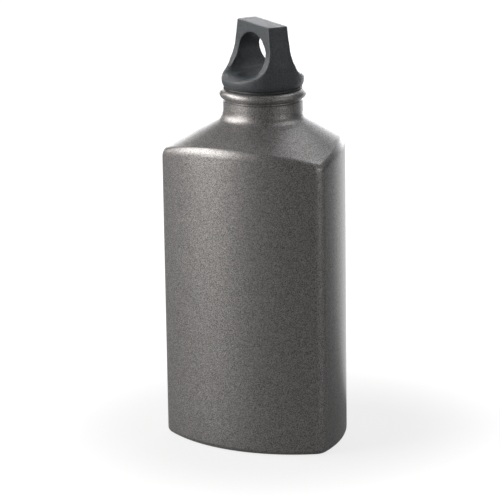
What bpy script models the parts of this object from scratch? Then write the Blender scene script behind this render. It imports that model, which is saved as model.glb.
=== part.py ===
"""A rigid aluminium drinks bottle with a three-sided body and a screw cap that has a carrying eye.

The bottle's shell is one piece of aluminium: a three-sided tube whose top runs into a turned shoulder,
a round neck and a rolled lip. Where the turned shoulder meets the three bowed sides it leaves a
crease that arches over each side. The cap is two mouldings, a loop-shaped top and a threaded stopper,
with a silicone ring between the stopper's flange and the rolled lip.

Metres, +Z up. The bottle stands on z = 0, and the middle of its footprint is at the origin.
"""

import math

import bmesh
import bpy
from mathutils import Matrix, Vector

# The body's three-sided section, measured from the bottle's axis
corner_reach = 0.0426
face_reach = 0.0341
corner_radius = 0.0065
wall = 0.0009

# The foot, and the hollow pressed up into the base
foot_radius = 0.0024
base_thickness = 0.0014
punt_radius = 0.0225
punt_depth = 0.0020

# The shoulder: a turned surface from the neck to the corners, which bows up between them
shoulder_corner_height = 0.1243
shoulder_rise = 0.0138
shoulder_bow = 0.0003
shoulder_wall = 0.0012
neck_fillet = 0.0030

# The neck and its rolled lip, which stands out from it
neck_radius = 0.0167
neck_wall = 0.0023
neck_length = 0.0097
lip_overhang = 0.0015
lip_section_radius = 0.0021

# The thread between the neck and the stopper
thread_pitch = 0.0040
thread_depth = 0.0012
thread_crest_width = 0.0007
thread_root_width = 0.0015
thread_sink = 0.0003
thread_clearance = 0.00035
thread_top_gap = 0.0005
thread_turns = 1.7
thread_fade_turns = 0.12
thread_end_share = 0.1
groove_lead_turns = 0.20

# The threaded stopper: its nose below the thread, its flange over the lip, and its deck in the cap's top
seat_gap = 0.0003
running_gap = 0.0004
nose_length = 0.0028
stopper_wall = 0.0020
flange_setback = 0.0017
flange_thickness = 0.0006
flange_skirt = 0.0005
deck_step = 0.0008
deck_wall = 0.0005
deck_rise = 0.0014
deck_thickness = 0.0022

# The silicone ring
gasket_height = 0.0007

# The cap's loop-shaped top, whose long side is turned this far from the bottle's +X
cap_yaw = math.radians(-34.5)
cap_height = 0.0262
rim_setback = 0.0016
rim_swell = 0.0007
rim_height = 0.0025
cone_foot_height = 0.0096
cone_taper = 0.0032
cap_top_round = 0.0004

# The two concave cuts that leave the cap's upright loop
loop_thickness = 0.0097
loop_top_thickness = 0.0090
flare_width = 0.0095
flare_rise = 0.0126
flare_floor_height = 0.0049

# The eye through the loop
eye_side_wall = 0.0055
eye_crown_below_top = 0.0040
eye_crown_share = 0.497
eye_floor_height = 0.0046
eye_floor_radius = 0.0046

# How far a cutter runs past what it cuts, and how near two points must be to be one
overrun = 0.0020
weld = 0.00003

# How finely round shapes are cut into flats
round_steps = 72
corner_steps = 8
face_steps = 16
arc_steps = 6
foot_steps = 3
thread_steps_per_turn = 36

# Sizes that follow from the ones above
shoulder_neck_height = shoulder_corner_height + shoulder_rise
bore_radius = neck_radius - neck_wall
lip_height = shoulder_neck_height + neck_length
lip_reach = neck_radius + lip_overhang
lip_ring_radius = lip_reach - lip_section_radius
lip_top = lip_height + lip_section_radius
core_radius = bore_radius - running_gap
crest_radius = core_radius + thread_depth
groove_radius = crest_radius + thread_clearance
thread_low = lip_top - thread_top_gap - thread_root_width / 2 - thread_turns * thread_pitch
stopper_low = thread_low - nose_length
flange_radius = lip_reach - flange_setback
deck_radius = flange_radius - deck_step
pocket_radius = deck_radius - deck_wall
gasket_radius = pocket_radius - seat_gap
lip_drop = lip_section_radius - math.sqrt(lip_section_radius**2 - (lip_ring_radius - gasket_radius) ** 2)
gasket_low = lip_top - lip_drop + seat_gap
gasket_high = gasket_low + gasket_height
pocket_roof = gasket_high + seat_gap
flange_bottom = pocket_roof - flange_skirt
flange_top = flange_bottom + flange_thickness
deck_top = flange_top + deck_rise
cap_low = flange_top + seat_gap
cap_high = cap_low + cap_height
rim_low_radius = lip_reach - rim_setback
rim_radius = rim_low_radius + rim_swell
cap_top_radius = rim_radius - cone_taper
flare_height = flare_floor_height + flare_rise
eye_half_width = rim_radius - eye_side_wall
eye_crown_rise = (cap_height - eye_crown_below_top - eye_floor_height) * eye_crown_share
footprint_offset = (corner_reach - face_reach) / 2

PARTS = "aluminium_bottle"
CUTTERS = "cutters"


def clear_scene():
    """Removes what Blender's startup file holds, and makes the two collections."""
    for obj in list(bpy.data.objects):
        bpy.data.objects.remove(obj)
    for name in (PARTS, CUTTERS):
        bpy.context.scene.collection.children.link(bpy.data.collections.new(name))


def add_object(name, data, collection, parent):
    """An object of this data, in a collection and under a parent empty."""
    obj = bpy.data.objects.new(name, data)
    bpy.data.collections[collection].objects.link(obj)
    obj.parent = parent
    if collection == CUTTERS:
        obj.hide_render = True
        obj.display_type = "WIRE"
    return obj


def empty(name, place, parent, yaw=0.0):
    """A parent empty on an axis."""
    obj = add_object(name, None, PARTS, parent)
    obj.location = place
    obj.rotation_euler = (0, 0, yaw)
    return obj


def arc(centre, radius, start, end, steps):
    """Points of an arc in a plane, from one angle in degrees to another."""
    points = []
    for step in range(steps + 1):
        angle = math.radians(start + (end - start) * step / steps)
        points.append((centre[0] + radius * math.cos(angle), centre[1] + radius * math.sin(angle)))
    return points


def turned(name, profile, collection, parent, closed=False):
    """A turned shape: a profile of (radius, height) points, spun round the parent's Z axis."""
    mesh = bpy.data.meshes.new(name)
    points = [(radius, 0, height) for radius, height in profile]
    edges = [(i, i + 1) for i in range(len(points) - 1)]
    if closed:
        edges.append((len(points) - 1, 0))
    mesh.from_pydata(points, edges, [])
    obj = add_object(name, mesh, collection, parent)
    screw = obj.modifiers.new("turn", "SCREW")
    screw.axis = "Z"
    screw.steps = round_steps
    screw.render_steps = round_steps
    screw.use_merge_vertices = True
    screw.merge_threshold = weld
    screw.use_smooth_shade = True
    return obj


def prism(name, outline, low, high, collection, parent, foot=0.0, stand=None):
    """An outline of (x, y) points given height, its lower edge rounded by foot, then stood up by a matrix."""
    bm = bmesh.new()
    face = bm.faces.new([bm.verts.new((x, y, low)) for x, y in outline])
    grown = bmesh.ops.extrude_face_region(bm, geom=[face])["geom"]
    top = [item for item in grown if isinstance(item, bmesh.types.BMVert)]
    bmesh.ops.translate(bm, verts=top, vec=(0, 0, high - low))
    bmesh.ops.recalc_face_normals(bm, faces=bm.faces)
    if foot:
        rim = [edge for edge in bm.edges if all(vert.co.z < low + weld for vert in edge.verts)]
        bmesh.ops.bevel(bm, geom=rim, offset=foot, segments=foot_steps, profile=0.5, affect="EDGES")
    if stand is not None:
        bmesh.ops.transform(bm, matrix=stand, verts=bm.verts)
    mesh = bpy.data.meshes.new(name)
    bm.to_mesh(mesh)
    bm.free()
    return add_object(name, mesh, collection, parent)


def helix_ridge(name, section, start_turns, turns, parent):
    """A ridge of this (radius, height) section along the thread's helix, with ends that fade into its root."""
    root = section[0][0]
    first = round(start_turns * thread_steps_per_turn)
    count = math.ceil(turns * thread_steps_per_turn)

    def station(step):
        """The section's corners at one step along the helix, which falls between the round shapes' flats."""
        fade_steps = thread_fade_turns * thread_steps_per_turn
        fade = min(1.0, step / fade_steps, (count - step) / fade_steps)
        swell = thread_end_share + (1 - thread_end_share) * fade
        along = (first + step) / thread_steps_per_turn
        turn = Matrix.Rotation(2 * math.pi * along + math.pi / round_steps, 4, "Z")
        height = thread_low + thread_pitch * along
        return [turn @ Vector((root + (reach - root) * swell, 0, height + drop)) for reach, drop in section]

    bm = bmesh.new()
    face = bm.faces.new([bm.verts.new(corner) for corner in station(0)])
    for step in range(1, count + 1):
        grown = bmesh.ops.extrude_face_region(bm, geom=[face])["geom"]
        if step > 1:
            bmesh.ops.delete(bm, geom=[face], context="FACES_ONLY")
        face = next(item for item in grown if isinstance(item, bmesh.types.BMFace))
        for vert, corner in zip(face.verts, station(step)):
            vert.co = corner
    bmesh.ops.recalc_face_normals(bm, faces=bm.faces)
    mesh = bpy.data.meshes.new(name)
    bm.to_mesh(mesh)
    bm.free()
    return add_object(name, mesh, CUTTERS, parent)


def combine(obj, other, operation="DIFFERENCE"):
    """Adds a Boolean with another object."""
    boolean = obj.modifiers.new(operation.lower() + "_" + other.name, "BOOLEAN")
    boolean.operation = operation
    boolean.solver = "EXACT"
    boolean.object = other


def merge_near(obj):
    """Merges the points that a cut leaves almost on top of each other."""
    merge = obj.modifiers.new("merge_near", "WELD")
    merge.merge_threshold = weld


def finish(obj, colour, roughness, metallic=0.0):
    """Gives a part its own material, and shades it smooth."""
    material = bpy.data.materials.new(obj.name)
    material.use_nodes = True
    shader = material.node_tree.nodes["Principled BSDF"]
    shader.inputs["Base Color"].default_value = (*colour, 1.0)
    shader.inputs["Roughness"].default_value = roughness
    shader.inputs["Metallic"].default_value = metallic
    obj.data.materials.append(material)
    obj.data.shade_smooth()


def three_sided_outline(inset):
    """The body's section, drawn in by inset: three corner arcs joined by three wide face arcs."""
    corner_centre = corner_reach - corner_radius
    face_drop = face_reach - corner_radius
    face_centre = (corner_centre**2 - face_drop**2) / (2 * face_drop - corner_centre)
    face_radius = face_reach + face_centre
    sixty = math.radians(60)
    across = corner_centre * math.sin(sixty)
    along = corner_centre * math.cos(sixty) + face_centre
    face_half = math.degrees(math.atan2(across, along))
    corner_half = 60 - face_half
    points = []
    for corner in (90, 210, 330):
        turn = math.radians(corner)
        centre = (corner_centre * math.cos(turn), corner_centre * math.sin(turn))
        start = corner - corner_half
        points += arc(centre, corner_radius - inset, start, corner + corner_half, corner_steps)
        face = corner + 60
        turn = math.radians(face)
        centre = (-face_centre * math.cos(turn), -face_centre * math.sin(turn))
        side = arc(centre, face_radius - inset, face - face_half, face + face_half, face_steps)
        points += side[1:-1]
    return points


def shoulder_line(drop):
    """The shoulder's profile from the neck outwards to past the body's corners, lowered by drop."""
    run = corner_reach - neck_radius
    fall = shoulder_neck_height - shoulder_corner_height
    points = []
    for step in range(arc_steps + 1):
        share = step / arc_steps * (run + overrun) / run
        rise = 4 * shoulder_bow * share * (1 - share)
        height = shoulder_neck_height - fall * share + rise - drop
        points.append((neck_radius + run * share, height))
    return points


def punt_line(lift, run):
    """The pressed-up hollow's profile, lifted off the ground, from its top out to run below its edge."""
    ball = (punt_radius**2 + punt_depth**2) / (2 * punt_depth)
    half = math.degrees(math.asin(punt_radius / ball))
    points = arc((0, lift + punt_depth - ball), ball, 90, 90 - half, arc_steps)
    points[0] = (0, lift + punt_depth)
    points.append((punt_radius, lift - run))
    return points


def outer_envelope():
    """The shell's turned envelope, from the lip down to below the foot."""
    line = shoulder_line(0)
    slope = math.degrees(math.atan2(line[0][1] - line[1][1], line[1][0] - line[0][0]))
    tangent = neck_fillet * math.tan(math.radians(90 - slope) / 2)
    fillet_centre = (neck_radius + neck_fillet, shoulder_neck_height + tangent)
    lip_foot = math.degrees(math.acos((neck_radius - lip_ring_radius) / lip_section_radius))
    profile = [(0, lip_height)]
    profile += arc((lip_ring_radius, lip_height), lip_section_radius, 180, -lip_foot, 2 * arc_steps)
    profile += arc(fillet_centre, neck_fillet, 180, 270 - slope, arc_steps)
    profile += line[1:]
    profile += [(line[-1][0], -overrun), (0, -overrun)]
    return profile


def inner_envelope():
    """The turned envelope of the space inside, with the hollow's dome standing up in its floor."""
    line = shoulder_line(shoulder_wall)
    slope = (line[0][1] - line[1][1]) / (line[1][0] - line[0][0])
    throat = line[0][1] + slope * (neck_radius - bore_radius)
    profile = [(0, lip_top + overrun), (bore_radius, lip_top + overrun), (bore_radius, throat)]
    profile += line
    profile += [(line[-1][0], -overrun)]
    profile += reversed(punt_line(base_thickness, base_thickness + overrun))
    return profile


def make_shell(axis):
    """The bottle: a three-sided prism cut to its turned envelope, hollowed out, with the neck's thread groove."""
    above = lip_top + overrun
    outside = three_sided_outline(0)
    shell = prism("bottle_shell", outside, 0, above, PARTS, axis, foot=foot_radius)
    combine(shell, turned("outer_envelope", outer_envelope(), CUTTERS, axis), "INTERSECT")

    inside = three_sided_outline(wall)
    cavity = prism("cavity", inside, base_thickness, above, CUTTERS, axis, foot=foot_radius - wall)
    combine(cavity, turned("inner_envelope", inner_envelope(), CUTTERS, axis), "INTERSECT")
    combine(shell, cavity)

    punt = punt_line(0, overrun)
    punt.append((0, -overrun))
    combine(shell, turned("punt", punt, CUTTERS, axis))

    root_half = thread_root_width / 2 + thread_clearance
    crest_half = thread_crest_width / 2 + thread_clearance
    root = bore_radius - thread_sink
    section = ((root, -root_half), (root, root_half), (groove_radius, crest_half), (groove_radius, -crest_half))
    groove_turns = (lip_top + overrun - thread_low) / thread_pitch + groove_lead_turns
    combine(shell, helix_ridge("thread_groove", section, -groove_lead_turns, groove_turns, axis))
    merge_near(shell)
    finish(shell, (0.135, 0.130, 0.124), 0.42, 0.35)


def make_gasket(axis):
    """The silicone ring, held on the stopper above its thread."""
    inner = core_radius + seat_gap
    profile = [(inner, gasket_high), (gasket_radius, gasket_high)]
    profile += [(gasket_radius, gasket_low), (inner, gasket_low)]
    gasket = turned("sealing_gasket", profile, PARTS, axis, closed=True)
    finish(gasket, (0.02, 0.02, 0.02), 0.6)


def make_stopper(axis):
    """The threaded stopper: a hollow plug under a flange, with a deck that fits up into the cap's top."""
    hollow_radius = core_radius - stopper_wall
    hollow_top = deck_top - deck_thickness
    profile = [(0, deck_top), (deck_radius, deck_top), (deck_radius, flange_top)]
    profile += [(flange_radius, flange_top), (flange_radius, flange_bottom), (pocket_radius, flange_bottom)]
    profile += [(pocket_radius, pocket_roof), (core_radius, pocket_roof), (core_radius, stopper_low)]
    profile += [(hollow_radius, stopper_low), (hollow_radius, hollow_top), (0, hollow_top)]
    stopper = turned("threaded_stopper", profile, PARTS, axis)
    root_half = thread_root_width / 2
    crest_half = thread_crest_width / 2
    root = core_radius - thread_sink
    section = ((root, -root_half), (root, root_half), (crest_radius, crest_half), (crest_radius, -crest_half))
    combine(stopper, helix_ridge("thread_ridge", section, 0, thread_turns, axis), "UNION")
    merge_near(stopper)
    finish(stopper, (0.055, 0.058, 0.060), 0.45)


def cap_blank():
    """The cap top's turned blank: a tucked-in rim under a cone, with a socket for the stopper's deck."""
    socket = deck_radius + seat_gap
    roof = deck_top + seat_gap
    cone_foot = cap_low + cone_foot_height
    rise = cap_height - cone_foot_height
    lean = math.degrees(math.atan2(cone_taper, rise))
    swell = (rim_height**2 + rim_swell**2) / (2 * rim_swell)
    sweep = math.degrees(math.asin(rim_height / swell))
    edge_centre = (cap_top_radius - cap_top_round, cap_high - cap_top_round)
    profile = [(0, cap_high)]
    profile += arc(edge_centre, cap_top_round, 90, lean, foot_steps)
    profile += [(rim_radius, cone_foot)]
    profile += arc((rim_radius - swell, cap_low + rim_height), swell, 0, -sweep, foot_steps)
    profile += [(socket, cap_low), (socket, roof), (0, roof)]
    return profile


def flare_outline():
    """One concave side cut, seen along the loop: a quarter of an ellipse, which runs out level over the rim."""
    top = cap_high + overrun
    bend = cap_low + flare_height
    lean = (loop_thickness - loop_top_thickness) / 2 / (cap_height - flare_height)
    start = loop_thickness / 2
    past = rim_radius + 2 * overrun
    outline = [(start - lean * (top - bend), top)]
    for out, drop in arc((1, 0), 1, 180, 270, 2 * arc_steps):
        outline.append((start + flare_width * out, bend + flare_rise * drop))
    outline += [(past, bend - flare_rise), (past, top)]
    return outline


def eye_outline():
    """The eye's section: a crown of half an ellipse over straight sides and a floor with round corners."""
    widest = cap_high - eye_crown_below_top - eye_crown_rise
    foot = cap_low + eye_floor_height + eye_floor_radius
    inner = eye_half_width - eye_floor_radius
    outline = []
    for x, y in arc((0, 0), 1, 0, 180, 4 * arc_steps):
        outline.append((eye_half_width * x, widest + eye_crown_rise * y))
    outline += arc((-inner, foot), eye_floor_radius, 180, 270, arc_steps)
    outline += arc((inner, foot), eye_floor_radius, 270, 360, arc_steps)
    return outline


def make_cap(axis):
    """The cap's top: a turned blank with two concave side cuts and an eye through the loop they leave."""
    cap = turned("cap_loop_top", cap_blank(), PARTS, axis)
    reach = rim_radius + overrun
    upright = Matrix.Rotation(math.radians(90), 4, "X")
    endways = Matrix.Rotation(math.radians(90), 4, "Z") @ upright
    for name, side in (("side_cut_back", 1), ("side_cut_front", -1)):
        outline = [(side * x, z) for x, z in flare_outline()]
        combine(cap, prism(name, outline, -reach, reach, CUTTERS, axis, stand=endways))
    combine(cap, prism("eye_cut", eye_outline(), -reach, reach, CUTTERS, axis, stand=upright))
    finish(cap, (0.060, 0.064, 0.067), 0.48)


def main():
    """Builds the bottle standing at the origin, with the cap screwed home."""
    clear_scene()
    bottle_axis = empty("bottle_axis", (0, -footprint_offset, 0), None)
    cap_axis = empty("cap_axis", (0, 0, 0), bottle_axis, cap_yaw)
    make_shell(bottle_axis)
    make_gasket(bottle_axis)
    make_stopper(bottle_axis)
    make_cap(cap_axis)
    bpy.context.view_layer.update()


main()
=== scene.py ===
"""Looks of the aluminium drinks bottle: fine meshes and finishes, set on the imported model's bodies.

Metres, +Z up. The bottle stands on z = 0. Its axis is a little in front of the origin. Angles are in
degrees, apart from those written with math.radians.
"""

import math

import bmesh
import bpy
from mathutils import Matrix, Vector


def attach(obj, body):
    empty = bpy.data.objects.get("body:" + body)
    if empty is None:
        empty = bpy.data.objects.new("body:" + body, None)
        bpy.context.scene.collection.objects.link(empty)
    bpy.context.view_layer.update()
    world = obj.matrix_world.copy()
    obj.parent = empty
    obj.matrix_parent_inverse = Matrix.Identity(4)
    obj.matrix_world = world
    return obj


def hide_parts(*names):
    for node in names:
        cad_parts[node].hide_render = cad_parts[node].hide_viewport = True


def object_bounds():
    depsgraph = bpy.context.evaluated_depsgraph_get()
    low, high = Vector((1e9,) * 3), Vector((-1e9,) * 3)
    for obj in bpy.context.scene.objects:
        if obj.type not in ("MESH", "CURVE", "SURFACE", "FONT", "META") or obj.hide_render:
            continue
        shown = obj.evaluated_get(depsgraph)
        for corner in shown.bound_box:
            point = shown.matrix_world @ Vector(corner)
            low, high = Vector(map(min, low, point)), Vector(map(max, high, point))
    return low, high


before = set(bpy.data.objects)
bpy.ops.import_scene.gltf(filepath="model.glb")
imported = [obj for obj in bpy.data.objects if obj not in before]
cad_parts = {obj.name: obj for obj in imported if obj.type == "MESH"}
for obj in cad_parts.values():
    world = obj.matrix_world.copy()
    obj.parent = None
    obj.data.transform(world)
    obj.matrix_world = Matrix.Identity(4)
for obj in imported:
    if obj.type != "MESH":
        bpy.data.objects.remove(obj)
cad_low, cad_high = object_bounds()

MM = 0.001

# The axis of the round parts
axis_place = Vector((0, -4.25 * MM, 0))

# The body's three-sided section, measured from the axis, and its wall
corner_angles = (90, 210, 330)
corner_reach = 42.6 * MM
face_reach = 34.1 * MM
corner_radius = 6.5 * MM
wall = 0.9 * MM
corner_steps = 24
face_steps = 64

# The foot and the hollow pressed up into the base
foot_radius = 2.4 * MM
base_thickness = 1.4 * MM
punt_radius = 22.5 * MM
punt_depth = 2.0 * MM

# The shoulder, its crease with the sides, and the fillet under the neck
shoulder_corner_height = 124.3 * MM
shoulder_rise = 13.8 * MM
shoulder_bow = 0.3 * MM
shoulder_wall = 1.2 * MM
slope_step = 0.1 * MM
crease_round = 5.4 * MM
crease_edge_angle = 13.0
neck_fillet = 4.6 * MM

# The neck and its rolled lip, whose section starts inside the neck
neck_radius = 16.7 * MM
neck_wall = 2.3 * MM
neck_length = 9.7 * MM
lip_overhang = 1.5 * MM
lip_section_radius = 2.1 * MM
lip_start_angle = 144
lip_groove_depth = 0.5 * MM
lip_groove_height = 0.6 * MM

# Steps along each stretch of the shell's half section
lip_steps = 26
neck_steps = 5
fillet_steps = 12
shoulder_steps = 20
crease_steps = 12
side_steps = 12
foot_steps = 10
base_steps = 6
punt_steps = 16
inner_foot_steps = 8
inner_side_steps = 8
inner_shoulder_steps = 16
bore_steps = 10

# The thread
thread_pitch = 4.0 * MM
thread_depth = 1.2 * MM
thread_crest_width = 0.7 * MM
thread_root_width = 1.5 * MM
thread_sink = 0.3 * MM
thread_clearance = 0.35 * MM
thread_top_gap = 0.5 * MM
thread_turns = 1.7
groove_lead_turns = 0.2
thread_fade_turns = 0.12
thread_steps = 96

# The stopper and the silicone ring
seat_gap = 0.3 * MM
running_gap = 0.4 * MM
nose_length = 2.8 * MM
stopper_wall = 2.0 * MM
flange_setback = 1.7 * MM
flange_thickness = 0.95 * MM
flange_skirt = 0.85 * MM
deck_step = 0.8 * MM
deck_wall = 0.5 * MM
deck_rise = 1.4 * MM
deck_thickness = 2.2 * MM
stopper_edge = 0.25 * MM
stopper_edge_steps = 3
edge_side_share = 0.45
gasket_height = 0.7 * MM
gasket_edge = 0.2 * MM
gasket_edge_steps = 4
round_steps = 192

# The cap's loop-shaped top: its turned blank
cap_yaw = math.radians(-34.5)
cap_height = 26.2 * MM
rim_setback = 1.6 * MM
rim_swell = 0.7 * MM
rim_height = 2.5 * MM
cone_foot_height = 9.6 * MM
cone_taper = 3.2 * MM
swell_steps = 12

# The cuts at both sides of the loop
loop_thickness = 9.7 * MM
loop_top_thickness = 9.0 * MM
flare_width = 9.5 * MM
flare_rise = 12.6 * MM
flare_floor_height = 4.9 * MM
flare_end_angle = 252
flare_knee_share = 0.7
flare_drop = 1.2 * MM
flare_steps = 48
flare_run_steps = 16

# The carrying eye and the dish in its floor
eye_side_wall = 5.5 * MM
eye_crown_below_top = 4.0 * MM
eye_crown_share = 0.497
eye_floor_height = 4.6 * MM
eye_floor_radius = 4.6 * MM
crown_steps = 72
eye_corner_steps = 24
dish_depth = 1.8 * MM
dish_height = 5.0 * MM
dish_half_width = 10.5 * MM
dish_half_length = 14.6 * MM
dish_rings = 48

# The cap's soft edges, and its rounder rim
cap_voxel = 0.28 * MM
smooth_factor = 0.5
cap_smooth_passes = 7
rim_smooth_reach = 4.5 * MM
rim_smooth_passes = 60

# Edges that are steeper than this are shaded sharp
hard_edge = math.radians(35)
cap_hard_edge = math.radians(50)

# The finishes: flake, die rings, mottling, the mould's grain, and its parting line
flake_size = 0.2 * MM
flake_tilt = 0.14
ring_spacing = 1.0 * MM
ring_stretch = 50
ring_depth = 0.03 * MM
mottle_size = 1.5 * MM
pebble_size = 0.35 * MM
pebble_depth = 0.06 * MM
parting_core = 0.05 * MM
parting_reach = 0.25 * MM

# The studio's light, where 1 is white: the room behind, in front and all round, and the floor's own glow,
# dimmed near the object as a painted shade round its foot
room_back = 1.15
room_front = 0.06
room_level = 0.08
floor_glow_in_painted_shade = 0.79
floor_gloss = 0.12
backdrop_way = Vector((-0.09, 0.996, 0))
backdrop_edge = 0.8
floor_half_width = 6.0
# Painted shade round the object's foot: the floor's glow keeps its near level inside the first reach, and
# rises to white by the second
painted_shade_start = 50 * MM
painted_shade_end = 130 * MM

# The softboxes: azimuth, elevation, width and height in metres, brightness and colour
softbox_distance = 0.9
softboxes = {
    "key_softbox": (-152, 33, (0.9, 0.45), 7.2, "fffcf9"),
    "low_key_softbox": (-128, 8, (0.5, 0.4), 4.6, "fffcf9"),
    "side_softbox": (-8, 10, (0.4, 0.4), 2.4, "fffcf9"),
    "backdrop_softbox": (110, 8, (0.9, 0.4), 4.4, "ffffff"),
    "rear_softbox": (36, 56, (0.5, 0.4), 2.4, "ffffff"),
    "high_rear_softbox": (108, 56, (0.5, 0.4), 1.7, "ffffff"),
}

# The camera, its azimuth measured from -Y towards +X
camera_azimuth = 27.46
camera_elevation = 15.02
camera_roll = -0.83
camera_target = Vector((-7.40 * MM, -3.84 * MM, 78.64 * MM))
camera_distance = 1200 * MM
camera_sensor_mm = 36
camera_lens_mm = 203.2

# How far a cutter runs past what it cuts, and how near two points must be to be one
overrun = 2.0 * MM
weld = 0.001 * MM

# Sizes that follow from the ones above
shoulder_neck_height = shoulder_corner_height + shoulder_rise
bore_radius = neck_radius - neck_wall
lip_height = shoulder_neck_height + neck_length
lip_reach = neck_radius + lip_overhang
lip_ring_radius = lip_reach - lip_section_radius
lip_top = lip_height + lip_section_radius
core_radius = bore_radius - running_gap
crest_radius = core_radius + thread_depth
groove_radius = crest_radius + thread_clearance
thread_low = lip_top - thread_top_gap - thread_root_width / 2 - thread_turns * thread_pitch
stopper_low = thread_low - nose_length
flange_radius = lip_reach - flange_setback
deck_radius = flange_radius - deck_step
pocket_radius = deck_radius - deck_wall
gasket_radius = pocket_radius - seat_gap
lip_drop = lip_section_radius - math.sqrt(lip_section_radius**2 - (lip_ring_radius - gasket_radius) ** 2)
gasket_low = lip_top - lip_drop + seat_gap
gasket_high = gasket_low + gasket_height
pocket_roof = gasket_high + seat_gap
flange_bottom = pocket_roof - flange_skirt
flange_top = flange_bottom + flange_thickness
deck_top = flange_top + deck_rise
cap_low = flange_top + seat_gap
cap_high = cap_low + cap_height
rim_low_radius = lip_reach - rim_setback
rim_radius = rim_low_radius + rim_swell
cap_top_radius = rim_radius - cone_taper
flare_height = flare_floor_height + flare_rise
eye_half_width = rim_radius - eye_side_wall
eye_crown_rise = (cap_height - eye_crown_below_top - eye_floor_height) * eye_crown_share


def arc(centre, radius, start, end, steps):
    """Points of an arc in a plane, from one angle to another."""
    points = []
    for step in range(steps + 1):
        angle = math.radians(start + (end - start) * step / steps)
        points.append((centre[0] + radius * math.cos(angle), centre[1] + radius * math.sin(angle)))
    return points


def between(start, end, steps):
    """Points that divide a straight run, without its ends."""
    shares = [step / steps for step in range(1, steps)]
    return [tuple(a + (b - a) * share for a, b in zip(start, end)) for share in shares]


def bent(start, knee, end, share):
    """A point of the curve that leaves start towards its knee and comes to end from there."""
    return tuple(start * (1 - share) ** 2 + knee * 2 * share * (1 - share) + end * share**2)


def add_piece(name, bm, materials=()):
    """A piece from a bmesh: doubles merged, faces pointing out, shaded smooth."""
    bmesh.ops.remove_doubles(bm, verts=bm.verts, dist=weld)
    bmesh.ops.recalc_face_normals(bm, faces=bm.faces)
    mesh = bpy.data.meshes.new(name)
    bm.to_mesh(mesh)
    bm.free()
    mesh.shade_smooth()
    for material in materials:
        mesh.materials.append(material)
    piece = bpy.data.objects.new(name, mesh)
    bpy.context.scene.collection.objects.link(piece)
    return piece


def outline_verts(bm, points):
    """Vertices at some points, each of which keeps its point's number."""
    number = bm.verts.layers.int.new("number")
    verts = []
    for index, point in enumerate(points):
        vert = bm.verts.new(point)
        vert[number] = index
        verts.append(vert)
    return verts


def spun(profile, steps, closed=False):
    """A bmesh with a profile of (radius, height) points spun right round Z."""
    bm = bmesh.new()
    verts = outline_verts(bm, [(radius, 0, height) for radius, height in profile])
    pairs = list(zip(verts, verts[1:]))
    if closed:
        pairs.append((verts[-1], verts[0]))
    edges = [bm.edges.new(pair) for pair in pairs]
    bmesh.ops.spin(
        bm,
        geom=verts + edges,
        cent=(0, 0, 0),
        axis=(0, 0, 1),
        angle=2 * math.pi,
        steps=steps,
        use_merge=True,
    )
    return bm


def helix(section, start_turns, turns):
    """A bmesh with a closed (radius, height) section swept up the thread's helix.

    It fades to its root at both ends.
    """
    bm = bmesh.new()
    turn = Matrix.Rotation(2 * math.pi * start_turns, 4, "Z")
    rise = thread_low + thread_pitch * start_turns
    verts = outline_verts(bm, [turn @ Vector((radius, 0, rise + drop)) for radius, drop in section])
    number = bm.verts.layers.int["number"]
    edges = [bm.edges.new(pair) for pair in zip(verts, verts[1:] + verts[:1])]
    steps = math.ceil(turns * thread_steps)
    bmesh.ops.spin(
        bm,
        geom=verts + edges,
        cent=(0, 0, 0),
        axis=(0, 0, 1),
        dvec=(0, 0, thread_pitch / thread_steps),
        angle=2 * math.pi * steps / thread_steps,
        steps=steps,
    )
    bmesh.ops.holes_fill(bm, edges=[edge for edge in bm.edges if edge.is_boundary], sides=0)
    root = section[0][0]
    for vert in bm.verts:
        along = (vert.co.z - rise - section[vert[number]][1]) / thread_pitch
        left = steps / thread_steps - along
        fade = max(0.0, min(1.0, along / thread_fade_turns, left / thread_fade_turns))
        swell = math.sin(math.pi / 2 * fade)
        radius = math.hypot(vert.co.x, vert.co.y)
        factor = (root + (radius - root) * swell) / radius
        vert.co.x *= factor
        vert.co.y *= factor
    return bm


def thread_section(root, crest, gap):
    """The thread's (radius, height) section, widened by a gap, its foot at root and its top at crest."""
    root_half = thread_root_width / 2 + gap
    crest_half = thread_crest_width / 2 + gap
    return [(root, -root_half), (root, root_half), (crest, crest_half), (crest, -crest_half)]


def cut(piece, cutter, operation="DIFFERENCE"):
    """Cuts or joins one piece with another for good, and removes the other."""
    boolean = piece.modifiers.new("cut", "BOOLEAN")
    boolean.operation = operation
    boolean.object = cutter
    settle(piece)
    bpy.data.objects.remove(cutter)


def settle(piece):
    """Makes a piece's modifiers its mesh."""
    graph = bpy.context.evaluated_depsgraph_get()
    mesh = bpy.data.meshes.new_from_object(piece.evaluated_get(graph))
    piece.modifiers.clear()
    piece.data = mesh


def place(piece, body, node):
    """Puts a piece on the bottle's axis, in its mesh, and lets it ride on its body in its node's stead."""
    piece.data.transform(Matrix.Translation(axis_place))
    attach(piece, body)
    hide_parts(node)


def three_sided_outline():
    """Points of the body's section with their outward directions, the corner at +Y first."""
    # From a corner to the middle of the next face
    sector = 60
    corner_centre = corner_reach - corner_radius
    face_drop = face_reach - corner_radius
    face_centre = (corner_centre**2 - face_drop**2) / (2 * face_drop - corner_centre)
    face_radius = face_reach + face_centre
    across = corner_centre * math.sin(math.radians(sector))
    along = corner_centre * math.cos(math.radians(sector)) + face_centre
    face_half = math.degrees(math.atan2(across, along))
    corner_half = sector - face_half
    points = []
    for corner in corner_angles:
        for middle, reach, radius, half, steps in (
            (corner, corner_centre, corner_radius, corner_half, corner_steps),
            (corner + sector, -face_centre, face_radius, face_half, face_steps),
        ):
            turn = math.radians(middle)
            centre = Vector((reach * math.cos(turn), reach * math.sin(turn)))
            for step in range(steps):
                angle = math.radians(middle - half + 2 * half * step / steps)
                outward = Vector((math.cos(angle), math.sin(angle)))
                points.append((centre + outward * radius, outward))
    return points


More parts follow.
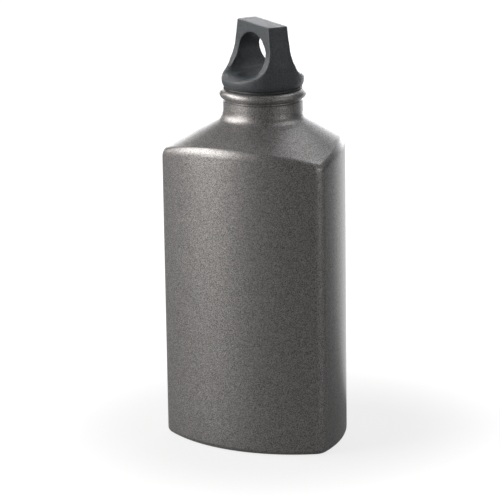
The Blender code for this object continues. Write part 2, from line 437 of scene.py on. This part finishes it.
def shoulder_at(radius):
    """The turned shoulder's height at a distance from the axis."""
    share = (radius - neck_radius) / (corner_reach - neck_radius)
    return shoulder_neck_height - shoulder_rise * share + 4 * shoulder_bow * share * (1 - share)


def shoulder_slope(radius):
    """The shoulder's fall below level, as an angle, at a distance from the axis."""
    return math.degrees(math.atan2(shoulder_at(radius) - shoulder_at(radius + slope_step), slope_step))


def punt_line():
    """The hollow in the base, from its edge to its middle."""
    ball = (punt_radius**2 + punt_depth**2) / (2 * punt_depth)
    points = []
    for step in range(punt_steps + 1):
        radius = punt_radius * (1 - step / punt_steps)
        points.append((radius, punt_depth - ball + math.sqrt(ball**2 - radius**2)))
    return points


def tagged(way, points):
    """Points of a profile, each with the way it follows the section."""
    return [(way, point) for point in points]


def outer_profile():
    """The shell's outer half section in a corner's plane, from the lip's inside down to the base's middle.

    Its ways are round, shoulder, crease, side, foot and base.
    """
    groove = neck_radius - lip_groove_depth
    lip_foot = math.degrees(math.acos((groove - lip_ring_radius) / lip_section_radius))
    lip = arc((lip_ring_radius, lip_height), lip_section_radius, lip_start_angle, -lip_foot, lip_steps)
    groove_bottom = lip[-1][1] - lip_groove_height
    neck_top = (neck_radius, groove_bottom - lip_groove_depth / 2)

    slope = shoulder_slope(neck_radius)
    tangent = neck_fillet * math.tan(math.radians(90 - slope) / 2)
    fillet_centre = (neck_radius + neck_fillet, shoulder_neck_height + tangent)
    fillet = arc(fillet_centre, neck_fillet, 180, 270 - slope, fillet_steps)

    edge_slope = shoulder_slope(corner_reach)
    crease_start = 90 - edge_slope - crease_edge_angle
    inward = crease_round * (1 - math.cos(math.radians(crease_start)))
    below = crease_round * math.sin(math.radians(crease_start)) - inward * math.tan(math.radians(edge_slope))
    crease_centre = (corner_reach - crease_round, shoulder_corner_height - below)
    crease = arc(crease_centre, crease_round, crease_start, 0, crease_steps)
    foot = arc((corner_reach - foot_radius, foot_radius), foot_radius, 0, -90, foot_steps)

    rows = tagged("round", lip)
    rows += tagged("round", [(groove, groove_bottom), neck_top])
    rows += tagged("round", between(neck_top, fillet[0], neck_steps))
    rows += tagged("round", fillet)
    rows += tagged("shoulder", between(fillet[-1], crease[0], shoulder_steps))
    rows += tagged("crease", crease)
    rows += tagged("side", between(crease[-1], foot[0], side_steps))
    rows += tagged("foot", foot)
    rows += tagged("base", between(foot[-1], (punt_radius, 0), base_steps))
    rows += tagged("round", punt_line())
    return rows


def inner_profile(bore_top):
    """The shell's inner half section, from the base's middle up the bore towards a height.

    Its ways start with inner.
    """
    throat_fall = math.tan(math.radians(shoulder_slope(neck_radius))) * (neck_radius - bore_radius)
    throat = (bore_radius, shoulder_neck_height - shoulder_wall + throat_fall)
    foot_centre = (corner_reach - foot_radius, foot_radius)
    foot = arc(foot_centre, foot_radius - wall, -90, 0, inner_foot_steps)
    edge = (corner_reach - wall, shoulder_at(corner_reach - wall) - shoulder_wall)
    punt = [(radius, height + base_thickness) for radius, height in reversed(punt_line())]
    rows = tagged("inner_round", punt)
    rows += tagged("inner_base", between((punt_radius, base_thickness), foot[0], base_steps))
    rows += tagged("inner_foot", foot)
    rows += tagged("inner_side", between(foot[-1], edge, inner_side_steps))
    rows += tagged("inner_edge", [edge])
    rows += tagged("inner_shoulder", between(edge, throat, inner_shoulder_steps))
    rows += tagged("inner_round", [throat])
    rows += tagged("inner_round", between(throat, (bore_radius, bore_top), bore_steps))
    return rows


def draw_in(bm, rows, outline):
    """Draws a turned skin's sides in to the three-sided section, each row in its own way."""
    number = bm.verts.layers.int["number"]
    ways = [way for way, point in rows]
    fillet_end = rows[ways.index("shoulder") - 1][1][0]
    crease_top = rows[ways.index("crease")][1][0]
    side_top = rows[ways.index("side") - 1][1][1]
    inner_top = rows[ways.index("inner_edge")][1][1]
    foot_edge = corner_reach - foot_radius
    count = len(outline)
    for vert in bm.verts:
        way, (radius, height) = rows[vert[number]]
        if radius < weld:
            continue
        turns = math.atan2(vert.co.y, vert.co.x) / (2 * math.pi)
        edge, outward = outline[round(turns * count) % count]
        level = edge.normalized()
        fall = shoulder_at(edge.length) - shoulder_corner_height
        if way in ("round", "inner_round"):
            flat = level * radius
        elif way == "shoulder":
            share = (radius - fillet_end) / (crease_top - fillet_end)
            flat = level * fillet_end * (1 - share)
            flat += (edge - outward * (corner_reach - crease_top)) * share
            height = shoulder_at(flat.length)
        elif way == "crease":
            flat = edge - outward * (corner_reach - radius)
            height += fall
        elif way == "side":
            flat = edge
            height += fall * (height - foot_radius) / (side_top - foot_radius)
        elif way in ("foot", "inner_foot"):
            flat = edge - outward * (corner_reach - radius)
        elif way in ("base", "inner_base"):
            share = (radius - punt_radius) / (foot_edge - punt_radius)
            flat = level * punt_radius * (1 - share) + (edge - outward * foot_radius) * share
        elif way == "inner_side":
            flat = edge - outward * wall
            height += fall * (height - foot_radius) / (inner_top - foot_radius)
        elif way == "inner_edge":
            flat = edge - outward * wall
            height = shoulder_at(flat.length) - shoulder_wall
        else:
            share = (radius - bore_radius) / (corner_reach - wall - bore_radius)
            flat = level * bore_radius * (1 - share) + (edge - outward * wall) * share
            height = shoulder_at(flat.length) - shoulder_wall
        vert.co = (flat.x, flat.y, height)


def make_bottle(materials):
    """The bottle: a turned skin drawn in to the three-sided section, with the thread's groove in its bore.

    The first material is for the outside, and the second for the inside.
    """
    outline = three_sided_outline()
    outer = outer_profile()
    rows = outer + inner_profile(outer[0][1][1])
    bm = spun([point for way, point in rows], len(outline), closed=True)
    draw_in(bm, rows, outline)
    number = bm.verts.layers.int["number"]
    for face in bm.faces:
        if min(vert[number] for vert in face.verts) >= len(outer):
            face.material_index = 1
    piece = add_piece("bottle_skin", bm, materials)

    section = thread_section(bore_radius - thread_sink, groove_radius, thread_clearance)
    groove_turns = (lip_top + overrun - thread_low) / thread_pitch + groove_lead_turns
    groove = add_piece("groove_cutter", helix(section, -groove_lead_turns, groove_turns), materials)
    for polygon in groove.data.polygons:
        polygon.material_index = 1
    cut(piece, groove)
    piece.data.set_sharp_from_angle(angle=hard_edge)
    place(piece, "bottle", "bottle_shell")


def make_gasket(material):
    """The silicone ring, with rounded edges."""
    near = core_radius + seat_gap + gasket_edge
    far = gasket_radius - gasket_edge
    low = gasket_low + gasket_edge
    high = gasket_high - gasket_edge
    profile = arc((near, high), gasket_edge, 180, 90, gasket_edge_steps)
    profile += arc((far, high), gasket_edge, 90, 0, gasket_edge_steps)
    profile += arc((far, low), gasket_edge, 0, -90, gasket_edge_steps)
    profile += arc((near, low), gasket_edge, 270, 180, gasket_edge_steps)
    piece = add_piece("silicone_ring", spun(profile, round_steps, closed=True), [material])
    place(piece, "seal", "sealing_gasket")


def softened(corners, radius, steps):
    """An open outline whose inner corners are rounded by a radius, as far as their sides allow."""
    points = [corners[0]]
    for before, corner, after in zip(corners, corners[1:], corners[2:]):
        here = Vector(corner)
        back = Vector(before) - here
        ahead = Vector(after) - here
        half = back.angle(ahead) / 2
        most = edge_side_share * min(back.length, ahead.length)
        reach = min(radius / math.tan(half), most)
        start = here + back.normalized() * reach
        end = here + ahead.normalized() * reach
        points += [bent(start, here, end, step / steps) for step in range(steps + 1)]
    points.append(corners[-1])
    return points


def make_stopper(material):
    """The threaded stopper: a hollow plug under a flange, with its thread."""
    hollow_radius = core_radius - stopper_wall
    hollow_top = deck_top - deck_thickness
    corners = [
        (0, deck_top),
        (deck_radius, deck_top),
        (deck_radius, flange_top),
        (flange_radius, flange_top),
        (flange_radius, flange_bottom),
        (pocket_radius, flange_bottom),
        (pocket_radius, pocket_roof),
        (core_radius, pocket_roof),
        (core_radius, stopper_low),
        (hollow_radius, stopper_low),
        (hollow_radius, hollow_top),
        (0, hollow_top),
    ]
    profile = softened(corners, stopper_edge, stopper_edge_steps)
    piece = add_piece("stopper_plug", spun(profile, round_steps), [material])
    section = thread_section(core_radius - thread_sink, crest_radius, 0)
    ridge = add_piece("thread_ridge", helix(section, 0, thread_turns), [material])
    cut(piece, ridge, "UNION")
    piece.data.set_sharp_from_angle(angle=hard_edge)
    place(piece, "cap", "threaded_stopper")


def prism(name, outline, reach, stand):
    """A closed outline of (x, y) points given a length of twice reach, then stood up by a matrix."""
    bm = bmesh.new()
    face = bm.faces.new([bm.verts.new((x, y, -reach)) for x, y in outline])
    grown = bmesh.ops.extrude_face_region(bm, geom=[face])["geom"]
    top = [item for item in grown if isinstance(item, bmesh.types.BMVert)]
    bmesh.ops.translate(bm, verts=top, vec=(0, 0, 2 * reach))
    bmesh.ops.transform(bm, matrix=stand, verts=bm.verts)
    return add_piece(name, bm)


def cap_blank():
    """The cap's turned blank: a cone over a rim that draws in to its foot on the flange."""
    swell = (rim_height**2 + rim_swell**2) / (2 * rim_swell)
    sweep = math.degrees(math.asin(rim_height / swell))
    profile = [(0, cap_high), (cap_top_radius, cap_high), (rim_radius, cap_low + cone_foot_height)]
    profile += arc((rim_radius - swell, cap_low + rim_height), swell, 0, -sweep, swell_steps)
    profile += [(rim_low_radius, flange_top), (0, flange_top)]
    return add_piece("cap_loop", spun(profile, round_steps))


def flare_outline(side):
    """One side cut, seen along the loop: a lean, part of an ellipse, and a run out over the rim."""
    top = cap_high + overrun
    bend = cap_low + flare_height
    lean = (loop_thickness - loop_top_thickness) / 2 / (cap_height - flare_height)
    start = loop_thickness / 2
    outline = [(start - lean * (top - bend), top)]
    for out, drop in arc((1, 0), 1, 180, flare_end_angle, flare_steps):
        outline.append((start + flare_width * out, bend + flare_rise * drop))
    end = Vector(outline[-1])
    slope = Vector(outline[-1]) - Vector(outline[-2])
    over = Vector((rim_radius, bend - flare_rise - flare_drop))
    knee = end + slope * (over.x - end.x) * flare_knee_share / slope.x
    outline += [bent(end, knee, over, step / flare_run_steps) for step in range(1, flare_run_steps + 1)]
    past = rim_radius + 2 * overrun
    outline += [(past, over.y), (past, top)]
    return [(side * x, z) for x, z in outline]


def eye_outline():
    """The eye's section: a crown of half an ellipse over straight sides and a floor with round corners."""
    widest = cap_high - eye_crown_below_top - eye_crown_rise
    foot = cap_low + eye_floor_height + eye_floor_radius
    inner = eye_half_width - eye_floor_radius
    outline = []
    for x, y in arc((0, 0), 1, 0, 180, crown_steps):
        outline.append((eye_half_width * x, widest + eye_crown_rise * y))
    outline += arc((-inner, foot), eye_floor_radius, 180, 270, eye_corner_steps)
    outline += arc((inner, foot), eye_floor_radius, 270, 360, eye_corner_steps)
    return outline


def dish_cutter():
    """A flattened ball, which dishes the floor of the eye."""
    middle = cap_low + eye_floor_height - dish_depth + dish_height
    bm = bmesh.new()
    bmesh.ops.create_uvsphere(bm, u_segments=2 * dish_rings, v_segments=dish_rings, radius=1)
    bmesh.ops.scale(bm, vec=(dish_half_width, dish_half_length, dish_height), verts=bm.verts)
    bmesh.ops.translate(bm, vec=(0, 0, middle), verts=bm.verts)
    return add_piece("dish_cutter", bm)


def socket_cutter():
    """The space in the cap's foot for the stopper's deck."""
    socket = deck_radius + seat_gap
    roof = deck_top + seat_gap
    below = cap_low - overrun
    profile = [(0, roof), (socket, roof), (socket, below), (0, below)]
    return add_piece("socket_cutter", spun(profile, round_steps))


def soften_edges(cap):
    """Gives the cap an even mesh whose edges are soft, as a moulding's are."""
    remesh = cap.modifiers.new("even_mesh", "REMESH")
    remesh.mode = "VOXEL"
    remesh.voxel_size = cap_voxel
    soften = cap.modifiers.new("soft_edges", "SMOOTH")
    soften.factor = smooth_factor
    soften.iterations = cap_smooth_passes
    settle(cap)


def round_rim(cap):
    """Rounds the cap's rim more than its other edges, where the side cuts run out over it."""
    rim_edge = cap.vertex_groups.new(name="rim_edge")
    for vert in cap.data.vertices:
        out = math.hypot(vert.co.x, vert.co.y) - rim_radius
        up = vert.co.z - cap_low - flare_floor_height
        near = 1 - math.hypot(out, up) / rim_smooth_reach
        if near > 0:
            rim_edge.add([vert.index], min(1.0, 2 * near), "REPLACE")
    rounding = cap.modifiers.new("round_rim", "SMOOTH")
    rounding.factor = smooth_factor
    rounding.iterations = rim_smooth_passes
    rounding.vertex_group = "rim_edge"
    settle(cap)


def make_cap(material):
    """The cap's loop-shaped top: a turned blank with two side cuts and an eye, its edges softened."""
    cap = cap_blank()
    reach = rim_radius + overrun
    upright = Matrix.Rotation(math.radians(90), 4, "X")
    endways = Matrix.Rotation(math.radians(90), 4, "Z") @ upright
    for side in (1, -1):
        cut(cap, prism("side_cutter", flare_outline(side), reach, endways))
    cut(cap, prism("eye_cutter", eye_outline(), reach, upright))
    cut(cap, dish_cutter())
    soften_edges(cap)
    round_rim(cap)
    cut(cap, socket_cutter())
    cap.data.transform(Matrix.Rotation(cap_yaw, 4, "Z"))
    cap.data.materials.clear()
    cap.data.materials.append(material)
    cap.data.shade_smooth()
    cap.data.set_sharp_from_angle(angle=cap_hard_edge)
    place(cap, "cap", "cap_loop_top")


def linear(code, alpha=1.0):
    """A colour written as sRGB hex, as the linear values that shaders take."""
    parts = [int(code[i : i + 2], 16) / 255 for i in (0, 2, 4)]
    return (*[p / 12.92 if p <= 0.04045 else ((p + 0.055) / 1.055) ** 2.4 for p in parts], alpha)


def add_node(tree, kind, inputs=None, **settings):
    """Adds a node with its settings, and fills its inputs with values or with other nodes' outputs."""
    made = tree.nodes.new(kind)
    for name, value in settings.items():
        setattr(made, name, value)
    for name, value in (inputs or {}).items():
        if isinstance(value, bpy.types.NodeSocket):
            tree.links.new(value, made.inputs[name])
        else:
            made.inputs[name].default_value = value
    return made


def new_material(name):
    """A new material, with its node tree and its shader."""
    material = bpy.data.materials.new(name)
    material.use_nodes = True
    tree = material.node_tree
    return material, tree, tree.nodes["Principled BSDF"]


def coated_aluminium():
    """Powder coat with metal flake, sprayed and baked on aluminium.

    It gives a dark warm grey with a fine salt-and-pepper speckle, a broad soft highlight that glitters,
    and a clear skin that turns smooth and pale where it is seen edge on.
    """
    material, tree, shader = new_material("flake_powder_coat")
    place_in = add_node(tree, "ShaderNodeTexCoord").outputs["Object"]
    # One flake to a cell; real flake is finer, and is drawn this coarse so that it shows
    flakes = add_node(tree, "ShaderNodeTexVoronoi", {"Vector": place_in, "Scale": 1 / flake_size})
    random = add_node(tree, "ShaderNodeSeparateColor", {"Color": flakes.outputs["Color"]})
    colour = add_node(
        tree,
        "ShaderNodeMix",
        {0: random.outputs["Red"], 6: linear("3f3e3d"), 7: linear("b2b0af")},
        data_type="RGBA",
    )
    tree.links.new(colour.outputs[2], shader.inputs["Base Color"])
    # Each flake lies at its own slight tilt
    lean = add_node(
        tree,
        "ShaderNodeVectorMath",
        {0: flakes.outputs["Color"], 1: (0.5, 0.5, 0.5)},
        operation="SUBTRACT",
    )
    normal = add_node(tree, "ShaderNodeNewGeometry").outputs["Normal"]
    tilt = add_node(
        tree,
        "ShaderNodeVectorMath",
        {0: lean.outputs["Vector"], 1: (flake_tilt, flake_tilt, flake_tilt), 2: normal},
        operation="MULTIPLY_ADD",
    )
    facing = add_node(tree, "ShaderNodeVectorMath", {0: tilt.outputs["Vector"]}, operation="NORMALIZE")
    tree.links.new(facing.outputs["Vector"], shader.inputs["Normal"])
    shader.inputs["Metallic"].default_value = 0.8
    shader.inputs["Roughness"].default_value = 0.48
    shader.inputs["Coat Weight"].default_value = 0.8
    shader.inputs["Coat Roughness"].default_value = 0.3
    return material


def bare_aluminium():
    """Bare drawn aluminium inside the bottle: a pale satin metal with faint rings from the drawing die."""
    material, tree, shader = new_material("drawn_aluminium")
    place_in = add_node(tree, "ShaderNodeTexCoord").outputs["Object"]
    # Noise stretched round the bottle; real die rings are finer, and are drawn this coarse so that they show
    flat = add_node(
        tree,
        "ShaderNodeVectorMath",
        {0: place_in, 1: (1 / ring_stretch, 1 / ring_stretch, 1.0)},
        operation="MULTIPLY",
    )
    rings = add_node(
        tree,
        "ShaderNodeTexNoise",
        {"Vector": flat.outputs["Vector"], "Scale": 1 / ring_spacing, "Detail": 3.0},
    )
    colour = add_node(
        tree,
        "ShaderNodeMix",
        {0: rings.outputs["Fac"], 6: linear("a9aaa9"), 7: linear("c6c7c5")},
        data_type="RGBA",
    )
    bump = add_node(
        tree,
        "ShaderNodeBump",
        {"Height": rings.outputs["Fac"], "Strength": 0.5, "Distance": ring_depth},
    )
    tree.links.new(colour.outputs[2], shader.inputs["Base Color"])
    tree.links.new(bump.outputs["Normal"], shader.inputs["Normal"])
    shader.inputs["Metallic"].default_value = 1.0
    shader.inputs["Roughness"].default_value = 0.38
    return material


def silicone():
    """Moulded silicone: matt, near black, with faint dust-grey mottling and a soft sheen seen edge on."""
    material, tree, shader = new_material("moulded_silicone")
    place_in = add_node(tree, "ShaderNodeTexCoord").outputs["Object"]
    mottle = add_node(
        tree,
        "ShaderNodeTexNoise",
        {"Vector": place_in, "Scale": 1 / mottle_size, "Detail": 3.0},
    )
    colour = add_node(
        tree,
        "ShaderNodeMix",
        {0: mottle.outputs["Fac"], 6: linear("191919"), 7: linear("2a2a2a")},
        data_type="RGBA",
    )
    tree.links.new(colour.outputs[2], shader.inputs["Base Color"])
    shader.inputs["Roughness"].default_value = 0.6
    shader.inputs["Sheen Weight"].default_value = 0.15
    return material


def moulded_plastic(name, dark, light, roughness):
    """Injection-moulded polypropylene from a spark-eroded mould.

    It gives a dark blue-grey with a soft satin glow, a fine pebbled grain, and a faint line where the
    mould parts, down the middle of the loop's ends.
    """
    material, tree, shader = new_material(name)
    place_in = add_node(tree, "ShaderNodeTexCoord").outputs["Object"]
    # The mould's grain is a field of small pebbles with flat tops
    grain = add_node(
        tree,
        "ShaderNodeTexNoise",
        {"Vector": place_in, "Scale": 1 / pebble_size, "Detail": 1.0},
    )
    pebbles = add_node(
        tree,
        "ShaderNodeMapRange",
        {"Value": grain.outputs["Fac"], "From Min": 0.35, "From Max": 0.65},
    )
    colour = add_node(
        tree,
        "ShaderNodeMix",
        {0: pebbles.outputs["Result"], 6: linear(dark), 7: linear(light)},
        data_type="RGBA",
    )
    # The parting line runs along the loop, in the plane through the cap's axis
    centred = add_node(tree, "ShaderNodeMapping", {"Vector": place_in, "Location": tuple(-axis_place)})
    turned = add_node(
        tree,
        "ShaderNodeMapping",
        {"Vector": centred.outputs["Vector"], "Rotation": (0, 0, -cap_yaw)},
    )
    across = add_node(tree, "ShaderNodeSeparateXYZ", {"Vector": turned.outputs["Vector"]})
    off = add_node(tree, "ShaderNodeMath", {0: across.outputs["Y"]}, operation="ABSOLUTE")
    line = add_node(
        tree,
        "ShaderNodeMapRange",
        {
            "Value": off.outputs["Value"],
            "From Min": parting_core,
            "From Max": parting_reach,
            "To Min": 1.0,
            "To Max": 0.0,
        },
    )
    height = add_node(
        tree,
        "ShaderNodeMath",
        {0: line.outputs["Result"], 1: pebbles.outputs["Result"]},
        operation="ADD",
    )
    bump = add_node(
        tree,
        "ShaderNodeBump",
        {"Height": height.outputs["Value"], "Strength": 1.0, "Distance": pebble_depth},
    )
    tree.links.new(colour.outputs[2], shader.inputs["Base Color"])
    tree.links.new(bump.outputs["Normal"], shader.inputs["Normal"])
    shader.inputs["Roughness"].default_value = roughness
    shader.inputs["Specular IOR Level"].default_value = 0.65
    return material


def add_backdrop(tree, way, front):
    """The room's brightness in a direction: bright round the middle of the backdrop, and dim elsewhere."""
    unit = add_node(tree, "ShaderNodeVectorMath", {0: way}, operation="NORMALIZE")
    near = add_node(
        tree,
        "ShaderNodeVectorMath",
        {0: unit.outputs["Vector"], 1: backdrop_way},
        operation="DOT_PRODUCT",
    )
    return add_node(
        tree,
        "ShaderNodeMapRange",
        {"Value": near.outputs["Value"], "From Min": backdrop_edge, "To Min": front, "To Max": room_back},
        interpolation_type="SMOOTHSTEP",
    )


def make_floor():
    """A pale studio floor that is white behind the object and keeps its shadow, with a painted shade round
    the object's foot where its own glow is dimmer.
    """
    bm = bmesh.new()
    bmesh.ops.create_grid(bm, x_segments=1, y_segments=1, size=floor_half_width)
    floor = add_piece("studio_floor", bm)
    material, tree, shader = new_material("white_paper")
    shader.inputs["Base Color"].default_value = linear("636363")
    shader.inputs["Roughness"].default_value = 0.9
    shader.inputs["Specular IOR Level"].default_value = 0.0
    path = add_node(tree, "ShaderNodeLightPath")
    place_in = add_node(tree, "ShaderNodeTexCoord").outputs["Object"]
    behind = add_backdrop(tree, place_in, floor_gloss)
    mirrored = add_node(
        tree,
        "ShaderNodeMath",
        {0: path.outputs["Is Glossy Ray"], 1: behind.outputs["Result"]},
        operation="MULTIPLY",
    )
    away = add_node(tree, "ShaderNodeVectorMath", {0: place_in}, operation="LENGTH")
    # Painted shade: the glow that the camera sees is dimmer near the object and white further away
    seen = add_node(
        tree,
        "ShaderNodeMapRange",
        {
            "Value": away.outputs["Value"],
            "From Min": painted_shade_start,
            "From Max": painted_shade_end,
            "To Min": floor_glow_in_painted_shade,
            "To Max": 1.0,
        },
        interpolation_type="SMOOTHSTEP",
    )
    level = add_node(
        tree,
        "ShaderNodeMath",
        {0: path.outputs["Is Camera Ray"], 1: seen.outputs["Result"], 2: mirrored.outputs["Value"]},
        operation="MULTIPLY_ADD",
    )
    glow = add_node(
        tree,
        "ShaderNodeEmission",
        {"Color": linear("ffffff"), "Strength": level.outputs["Value"]},
    )
    both = add_node(tree, "ShaderNodeAddShader", {0: shader.outputs["BSDF"], 1: glow.outputs["Emission"]})
    tree.links.new(both.outputs["Shader"], tree.nodes["Material Output"].inputs["Surface"])
    floor.data.materials.append(material)


def make_softbox(name, azimuth, elevation, size, brightness, colour):
    """A softbox that faces the bottle's middle, its face this many times as bright as white paper."""
    lamp = bpy.data.lights.new(name, "AREA")
    lamp.shape = "RECTANGLE"
    lamp.size, lamp.size_y = size
    lamp.energy = brightness * math.pi * lamp.size * lamp.size_y
    lamp.color = linear(colour)[:3]
    softbox = bpy.data.objects.new(name, lamp)
    bpy.context.scene.collection.objects.link(softbox)
    turn = math.radians(azimuth)
    rise = math.radians(elevation)
    way = Vector((math.cos(turn) * math.cos(rise), math.sin(turn) * math.cos(rise), math.sin(rise)))
    softbox.location = Vector((0, 0, cad_high.z / 2)) + way * softbox_distance
    softbox.rotation_euler = way.to_track_quat("Z", "Y").to_euler()
    softbox.visible_camera = False


def make_world():
    """A studio room: an even pale light, bright behind the object and dim in front where it is mirrored."""
    world = bpy.data.worlds.new("studio")
    bpy.context.scene.world = world
    world.use_nodes = True
    tree = world.node_tree
    path = add_node(tree, "ShaderNodeLightPath")
    way = add_node(tree, "ShaderNodeTexCoord").outputs["Generated"]
    mirrored = add_backdrop(tree, way, room_front)
    lit = add_node(
        tree,
        "ShaderNodeMix",
        {0: path.outputs["Is Glossy Ray"], 2: room_level, 3: mirrored.outputs["Result"]},
        data_type="FLOAT",
    )
    level = add_node(
        tree,
        "ShaderNodeMix",
        {0: path.outputs["Is Camera Ray"], 2: lit.outputs[0], 3: 1.0},
        data_type="FLOAT",
    )
    background = tree.nodes["Background"]
    background.inputs["Color"].default_value = linear("f4f8ff")
    tree.links.new(level.outputs[0], background.inputs["Strength"])


def make_camera():
    """A long lens a little to the right of the object and above it, held almost level."""
    azimuth = math.radians(camera_azimuth)
    elevation = math.radians(camera_elevation)
    roll = math.radians(camera_roll)
    level = Vector((math.sin(azimuth), -math.cos(azimuth), 0))
    back = level * math.cos(elevation) + Vector((0, 0, math.sin(elevation)))
    right = Vector((math.cos(azimuth), math.sin(azimuth), 0))
    up = back.cross(right)
    side = right * math.cos(roll) + up * math.sin(roll)
    top = up * math.cos(roll) - right * math.sin(roll)
    lens = bpy.data.cameras.new("camera")
    lens.sensor_width = camera_sensor_mm
    lens.lens = camera_lens_mm
    camera = bpy.data.objects.new("camera", lens)
    bpy.context.scene.collection.objects.link(camera)
    matrix = Matrix((side, top, back)).transposed().to_4x4()
    matrix.translation = camera_target + back * camera_distance
    camera.matrix_world = matrix
    bpy.context.scene.camera = camera


make_bottle([coated_aluminium(), bare_aluminium()])
make_gasket(silicone())
make_stopper(moulded_plastic("moulded_stopper_plastic", "1c1e20", "3a3e40", 0.42))
make_cap(moulded_plastic("moulded_cap_plastic", "282c30", "51575b", 0.46))
make_floor()
for softbox_name, softbox_settings in softboxes.items():
    make_softbox(softbox_name, *softbox_settings)
make_world()
make_camera()

bpy.context.scene.view_settings.view_transform = "Standard"
